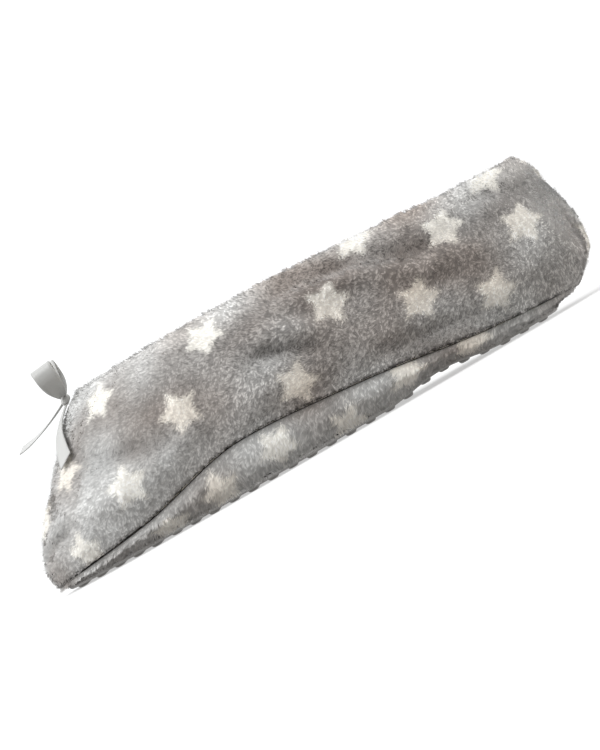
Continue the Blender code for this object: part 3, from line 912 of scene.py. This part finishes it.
def fleece(name, grid, normals, count, lay, seed, crowding=1.0):
    """Cream curls on a grid of rings."""
    roots, out, row, column = scatter(grid, normals, count, seed, crowding)
    tips, tone = comb(roots, out, np.tile(lay, (count, 1)), LINING_PILE, seed + 1)
    colours, spot = LINING_CREAM * tone[:, None], (row, column)
    return plant(name, roots, tips, out, LINING_PILE.width, colours, seed + 3, lining_pile, spot)


inside = slice(len(outside) + 1, None)
lining_piece = fleece(
    "lining_fleece", upper_grid[inside], upper_normals[inside], LINING_TUFTS, LINING_LAY, seed=61
)
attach(lining_piece, "root")


# Fleece of the sole's edge: the same cream fleece, laid over the step from the lining down to the
# insole. It is thicker on the ledge under the seam, so that the cloth painted dark there as the
# seam's shadow stays hidden.
EDGE_TUFTS = 15000
EDGE_ROWS = 8
LEDGE_THICKER = 3.5
fall = np.linspace(0, 1, EDGE_ROWS).reshape(-1, 1, 1)
edge = np.concatenate([inset(band[-1], LINING_DEPTH)[None], rim * (1 - fall) + footbed * fall])
thicker = np.where(np.arange(EDGE_ROWS) == 0, LEDGE_THICKER, 1.0)[:, None]
edge_piece = fleece(
    "sole_edge_fleece", edge, grid_normals(edge), EDGE_TUFTS, LINING_LAY, seed=66, crowding=thicker
)
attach(edge_piece, "root")


# Insole: a soft pad covered with the same cream fleece, cut a little smaller than the inside and
# laid loose on the padded sole.
INSOLE = 4.0
INSOLE_INSET = 7.4
INSOLE_LEVEL = Level(0.0, 0.003, 0.973, 0.575, 0.905, 0.81, 0.665)
INSOLE_COLUMNS = 200
INSOLE_RINGS = 22
INSOLE_PILE_DEPTH = 1.5
# Rings of the pad's rounded edge: how far each is drawn in, and its share of the pad's height
INSOLE_EDGE = ((0.9, 0.0), (0.0, 0.35), (0.5, 0.85))
INSOLE_TOP_INSET = 1.6
INSOLE_LAST_RING = 0.96
INSOLE_TUFTS = 24000
INSOLE_LAY = (1.0, 0.0, 0.0)
_, insole_along, insole_across = ring_plan(INSOLE_LEVEL, turns(INSOLE_COLUMNS))
insole_edge = inset(place(insole_along, insole_across, 0 * insole_along), INSOLE_INSET)
insole_low = FOOTBED + GAP
pad_height = INSOLE - INSOLE_PILE_DEPTH
spine = np.stack([insole_edge[:, 0], centre_line(along_of(insole_edge)), 0 * insole_along], 1)
rings = []
for drawn, height in INSOLE_EDGE:
    ring = inset(insole_edge, drawn)
    ring[:, 2] = insole_low + height * pad_height
    rings.append(ring)
for share in np.linspace(0, INSOLE_LAST_RING, INSOLE_RINGS):
    ring = inset(insole_edge, INSOLE_TOP_INSET) * (1 - share) + spine * share
    ring[:, 2] = insole_low + pad_height
    rings.append(ring)
insole_grid = np.stack(rings)
insole = add_rings("insole_pad", insole_grid, [lining_cloth])
paint(insole, np.tile(LINING_CREAM * FLEECE_GROUND, (insole_grid.size // 3, 1)))
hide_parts("insole")
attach(insole, "root")

pad_top = insole_grid[len(INSOLE_EDGE) - 1 :]
pad_normals = np.zeros_like(pad_top)
pad_normals[..., 2] = 1
insole_fleece = fleece("insole_fleece", pad_top, pad_normals, INSOLE_TUFTS, INSOLE_LAY, seed=71)
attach(insole_fleece, "root")


# Bow: one length of silver grey satin ribbon, tied by hand at the throat of the vamp and tacked down
# through its knot. Its loops stand up, one end lies on the vamp and the other stands out.
RIBBON_WIDTH = 8.8
RIBBON_PINCH = 2.6
RIBBON_FAN = 0.85
RIBBON_THICK = 0.45
RIBBON_STRIPS = 9
SATIN_GREY = (0.48, 0.48, 0.465)
KNOT_SIZE = np.array((4.8, 4.0, 3.5))
KNOT_RISE = 0.955
KNOT_CLEAR = 0.4
KNOT_RINGS, KNOT_COLUMNS = 18, 28
KNOT_POLE = 0.02
KNOT_BLUNTNESS = 0.8
PLEAT_DEPTH, PLEATS, PLEAT_START = 0.05, 5, 1.0
LOOP_LENGTH = 18.0
LOOP_FULLNESS = 5.2
LOOP_LIFT_DEG = 50.0
LOOP_TILT_DEG = 6.0
LOOP_OPEN_RAD = 0.42
LOOP_STEPS = 60
LOOP_SUNK, LOOP_FROM_KNOT = 0.6, 0.7
LOOP_CUP, LOOP_CUP_REACH = 0.9, 0.6
LOOPS = (("bow_outer_loop", "bow_loop_outer", -1), ("bow_inner_loop", "bow_loop_inner", 1))
TAIL_STEPS = 40
TAIL_CUP = 0.5
TAIL_CLEAR = 0.9
TAIL_WAVE, TAIL_WAVE_RAD = 0.5, 3.0
# The end on the vamp runs down and round the upper, in shares of its rise and in turns
OUTER_TAIL_START, OUTER_TAIL_RUN = (-0.020, 0.02), (-0.30, 0.36)
OUTER_TAIL_SIDE = 0.05
# The end that stands out starts beside the knot's middle, and runs ahead, inwards and down
INNER_TAIL_START = np.array((-KNOT_SIZE[0] / 2 + 0.6, 1.2, -0.6))
INNER_TAIL_AHEAD, INNER_TAIL_IN, INNER_TAIL_SAG = -24.0, 7.0, 8.0
INNER_TAIL_BEND = 1.6
INNER_TAIL_ACROSS, INNER_TAIL_TWIST = np.array((0.1, 1.0, 0.0)), (0.0, 0.0, 0.25)
satin = plain_material("silver grey satin", SATIN_GREY, roughness=0.36, sheen=0.1)
add_grain(satin, scale=2400.0, detail=2.0, strength=0.25, depth_m=0.0002)


def upper_frame(rise, turn):
    """A point where the pile ends, and the way out of it."""
    step = 0.004
    up = upper_surface(rise + step, turn) - upper_surface(rise - step, turn)
    round_foot = upper_surface(rise, turn + step) - upper_surface(rise, turn - step)
    return upper_surface(rise, turn), unit(np.cross(round_foot, up))


def ribbon(name, node, path, across, widths, cup):
    """A satin strip along a path, cupped a little across its width where it is pinched."""
    ahead = unit(np.gradient(path, axis=0))
    side = unit(across - ahead * np.einsum("ij,ij->i", across, ahead)[:, None])
    face = np.cross(ahead, side)
    shares = np.linspace(-1, 1, RIBBON_STRIPS)
    strips = []
    for level, row in ((-0.5, shares), (0.5, shares[::-1])):
        for share in row:
            raised = cup * (1 - share * share) + level * RIBBON_THICK
            strips.append(path + side * (widths * share / 2)[:, None] + face * raised[:, None])
    rings = np.stack(strips, axis=1)
    count, columns = rings.shape[:2]
    corner = np.arange(count * columns).reshape(count, columns)
    j = np.arange(columns // 2 - 1)
    faces = ring_faces(count, columns)[:1]
    for row, flip in ((corner[0], -1), (corner[-1], 1)):
        end = np.stack([row[j], row[j + 1], row[columns - j - 2], row[columns - j - 1]], -1)
        faces.append(end[:, ::flip])
    strip = add_piece(name, rings, faces, [satin])
    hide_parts(node)
    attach(strip, "root")


def pinched(share):
    spread = np.sin(np.pi / 2 * rising(share, RIBBON_FAN))
    return RIBBON_PINCH + (RIBBON_WIDTH - RIBBON_PINCH) * spread


knot_surface, knot_out = upper_frame(np.array(KNOT_RISE), np.array(0.0))
knot_centre = knot_surface + knot_out * (KNOT_SIZE[2] / 2 + KNOT_CLEAR)
lift = math.radians(LOOP_LIFT_DEG)
tilt = np.array(Matrix.Rotation(-math.radians(LOOP_TILT_DEG), 3, "Y"))
loop_turn = np.linspace(LOOP_OPEN_RAD, 2 * np.pi - LOOP_OPEN_RAD, LOOP_STEPS)
loop_reach = (math.cos(LOOP_OPEN_RAD) - np.cos(loop_turn)) / (1 + math.cos(LOOP_OPEN_RAD))
loop_spread = LOOP_FULLNESS * np.sin(loop_turn) * np.sin(loop_turn / 2)
for name, node, side in LOOPS:
    out = tilt @ np.array((0, side * math.cos(lift), math.sin(lift)))
    apart = tilt @ np.array((0, -side * math.sin(lift), math.cos(lift)))
    start = knot_centre + out * (KNOT_SIZE[1] / 2 - LOOP_SUNK)
    path = start + out * (LOOP_FROM_KNOT + loop_reach * LOOP_LENGTH)[:, None]
    path = path - apart * loop_spread[:, None]
    across = np.tile(tilt @ np.array((1.0, 0, 0)), (len(path), 1))
    cup = LOOP_CUP * falling(loop_reach, LOOP_CUP_REACH)
    ribbon(name, node, path, across, pinched(loop_reach), cup)

tail_share = np.linspace(0, 1, TAIL_STEPS)
tail_cup = TAIL_CUP * (1 - tail_share)
tail_rise = KNOT_RISE + OUTER_TAIL_START[0] + OUTER_TAIL_RUN[0] * tail_share
tail_turn = OUTER_TAIL_START[1] + OUTER_TAIL_RUN[1] * tail_share
tail_path, tail_out = upper_frame(tail_rise, tail_turn)
tail_clear = TAIL_CLEAR + TAIL_WAVE * np.sin(TAIL_WAVE_RAD * tail_share) ** 2
tail_path = tail_path + tail_out * tail_clear[:, None]
tail_across = upper_surface(tail_rise, tail_turn + OUTER_TAIL_SIDE) - upper_surface(tail_rise, tail_turn)
ribbon("bow_outer_tail", "bow_tail_outer", tail_path, tail_across, pinched(tail_share), tail_cup)

sag = INNER_TAIL_SAG * (1 - (1 - tail_share) ** INNER_TAIL_BEND)
inner_run = np.stack([INNER_TAIL_AHEAD * tail_share, INNER_TAIL_IN * tail_share, -sag], 1)
inner_path = knot_centre + INNER_TAIL_START + inner_run
inner_across = INNER_TAIL_ACROSS + np.outer(tail_share, INNER_TAIL_TWIST)
ribbon("bow_inner_tail", "bow_tail_inner", inner_path, inner_across, pinched(tail_share), tail_cup)

knot_lat = np.linspace(KNOT_POLE, np.pi - KNOT_POLE, KNOT_RINGS)[:, None]
knot_lon = turns(KNOT_COLUMNS)
pleat = 1 + PLEAT_DEPTH * np.cos(PLEATS * knot_lat + PLEAT_START)
knot_local = np.stack([
    -np.cos(knot_lat) * KNOT_SIZE[0] / 2 + 0 * knot_lon,
    np.sin(knot_lat) ** KNOT_BLUNTNESS * np.cos(knot_lon) * KNOT_SIZE[1] / 2 * pleat,
    np.sin(knot_lat) ** KNOT_BLUNTNESS * np.sin(knot_lon) * KNOT_SIZE[2] / 2 * pleat,
], -1)
knot_turn = np.array(Vector((0, 0, 1)).rotation_difference(Vector(knot_out)).to_matrix())
knot = add_rings("bow_knot_wrap", knot_local @ knot_turn.T + knot_centre, [satin])
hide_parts("bow_knot")
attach(knot, "root")


# Studio: a white floor that glows a little and white surroundings, brighter behind the slipper than
# in front of it. One large soft light stands high over the toe, and a weaker one low behind the heel.
FLOOR_WHITE = (0.50, 0.50, 0.495)
FLOOR_SIDE = 3000.0
FLOOR_DROP = 0.05
GLOW_REACH_M, GLOW = (0.14, 0.40), (0.45, 0.6)
BRIGHT_SIDE = (-0.15, 0.70, 0.55)
BRIGHT_RANGE = (-0.60, 0.5)
DIM_WALL = (0.13, 0.117, 0.107)
BRIGHT_WALL = (1.20, 1.21, 1.22)
FLOOR_FILL = (0.43, 0.42, 0.41)
FLOOR_FILL_RANGE = (-0.25, -0.75)


def ramp_between(nodes, low, high, least=0.0, most=1.0):
    """A node that turns one range of values into another."""
    ramp = nodes.new("ShaderNodeMapRange")
    set_inputs(ramp, {"From Min": low, "From Max": high, "To Min": least, "To Max": most})
    return ramp


def soft_light(name, place_m, aim_m, size_m, power, colour):
    lamp = bpy.data.lights.new(name, "AREA")
    lamp.shape = "DISK"
    lamp.size = size_m
    lamp.energy = power
    lamp.color = colour
    made = add_object(name, lamp)
    made.location = place_m
    made.rotation_euler = (Vector(aim_m) - Vector(place_m)).to_track_quat("-Z", "Y").to_euler()


floor_white = plain_material("white floor", FLOOR_WHITE, roughness=0.9, specular=0.1)
floor_nodes, floor_links = floor_white.node_tree.nodes, floor_white.node_tree.links
floor_shader = floor_nodes["Principled BSDF"]
floor_shader.inputs["Emission Color"].default_value = (1, 1, 1, 1)
spot = floor_nodes.new("ShaderNodeTexCoord")
away = floor_nodes.new("ShaderNodeVectorMath")
away.operation = "LENGTH"
glow = ramp_between(floor_nodes, *GLOW_REACH_M, *GLOW)
floor_links.new(spot.outputs["Object"], away.inputs[0])
floor_links.new(away.outputs["Value"], glow.inputs["Value"])
floor_links.new(glow.outputs["Result"], floor_shader.inputs["Emission Strength"])
floor_corners = np.array([(-1, -1, 0), (1, -1, 0), (1, 1, 0), (-1, 1, 0)], float) * FLOOR_SIDE
floor_corners[:, 2] = -FLOOR_DROP
floor = add_piece("floor", floor_corners, np.array([[0, 1, 2, 3]]), [floor_white], smooth=False)
floor.visible_diffuse = False
floor.visible_shadow = False

world = bpy.data.worlds.new("white room")
bpy.context.scene.world = world
world.use_nodes = True
world_nodes, world_links = world.node_tree.nodes, world.node_tree.links
way = world_nodes.new("ShaderNodeTexCoord")
facing = world_nodes.new("ShaderNodeVectorMath")
facing.operation = "DOT_PRODUCT"
facing.inputs[1].default_value = BRIGHT_SIDE
brighter = ramp_between(world_nodes, *BRIGHT_RANGE)
walls = world_nodes.new("ShaderNodeMix")
walls.data_type = "RGBA"
set_inputs(walls, {"A": (*DIM_WALL, 1), "B": (*BRIGHT_WALL, 1)})
world_links.new(way.outputs["Generated"], facing.inputs[0])
world_links.new(facing.outputs["Value"], brighter.inputs["Value"])
world_links.new(brighter.outputs["Result"], walls.inputs["Factor"])
height = world_nodes.new("ShaderNodeSeparateXYZ")
below = ramp_between(world_nodes, *FLOOR_FILL_RANGE)
room = world_nodes.new("ShaderNodeMix")
room.data_type = "RGBA"
set_inputs(room, {"B": (*FLOOR_FILL, 1)})
world_links.new(way.outputs["Generated"], height.inputs["Vector"])
world_links.new(height.outputs["Z"], below.inputs["Value"])
world_links.new(below.outputs["Result"], room.inputs["Factor"])
world_links.new(walls.outputs["Result"], room.inputs["A"])
world_links.new(room.outputs["Result"], world_nodes["Background"].inputs["Color"])

soft_light(
    "toe_softbox", place_m=(-0.73, -0.70, 1.0), aim_m=(-0.03, 0.0, 0.03), size_m=1.4, power=18.0,
    colour=(0.97, 0.985, 1.0),
)
soft_light(
    "heel_softbox", place_m=(1.10, -0.20, 0.18), aim_m=(0.10, 0.0, 0.03), size_m=0.9, power=5.0,
    colour=(1.0, 0.99, 0.97),
)


# Camera: level with the slipper's outer side and just above the floor. It is rolled, so that the
# heel rises to the right as in the photo.
ROLL_DEG = 30.0
CAMERA_DISTANCE = 1.7
CAMERA_RISE_DEG = 0.7
CAMERA_SWING_DEG = 1.5
VIEW_HEIGHT = 0.296
AIM = Vector((0.001, 0.0, 0.0295))
camera_data = bpy.data.cameras.new("camera")
camera_data.lens = camera_data.sensor_width * CAMERA_DISTANCE / VIEW_HEIGHT
camera_data.clip_start = 0.05
camera = add_object("camera", camera_data)
rise, swing = math.radians(CAMERA_RISE_DEG), math.radians(CAMERA_SWING_DEG)
back = Vector((math.sin(swing) * math.cos(rise), -math.cos(swing) * math.cos(rise), math.sin(rise)))
level_right = Vector((0, 0, 1)).cross(back).normalized()
level_up = back.cross(level_right)
roll_angle = math.radians(ROLL_DEG)
right = level_right * math.cos(roll_angle) - level_up * math.sin(roll_angle)
up = level_right * math.sin(roll_angle) + level_up * math.cos(roll_angle)
camera_turn = Matrix((right, up, back)).transposed().to_4x4()
camera.matrix_world = Matrix.Translation(AIM + back * CAMERA_DISTANCE) @ camera_turn
bpy.context.scene.camera = camera
bpy.context.scene.view_settings.view_transform = "Standard"
